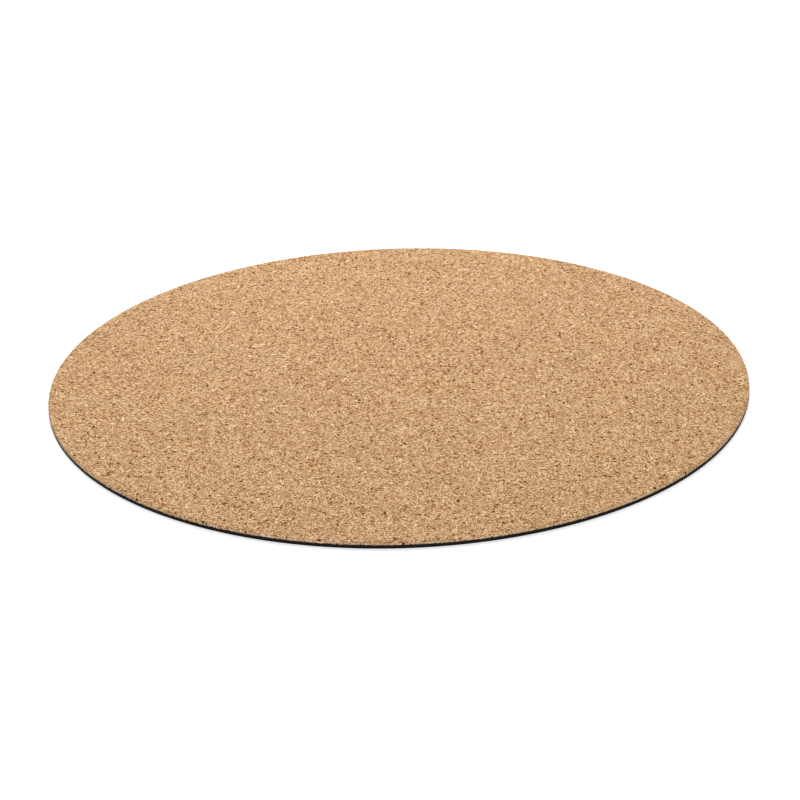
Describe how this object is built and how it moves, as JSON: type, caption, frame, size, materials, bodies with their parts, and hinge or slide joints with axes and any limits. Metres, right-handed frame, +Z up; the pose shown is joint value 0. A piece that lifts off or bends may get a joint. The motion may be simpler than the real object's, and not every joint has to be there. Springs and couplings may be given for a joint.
{
  "type": "mouse pad",
  "caption": "Thin round desk mouse pad: a sheet of pressed cork granules glued to a black rubber backing, die-cut to a flush edge.",
  "frame": {"origin": "middle of the underside, on the surface that the pad lies on", "axes": "+Z up, square to the pad and along its axis of symmetry, from the rubber to the cork; X and Y lie in the underside"},
  "size_m": [0.2, 0.2, 0.002],
  "materials": {
    "backing": "matte",
    "glue": "satin",
    "cork": "matte"
  },
  "bodies": {
    "root": {"rubber_backing": "backing", "glue_film": "glue", "cork_sheet": "cork"}
  },
  "joints": []
}
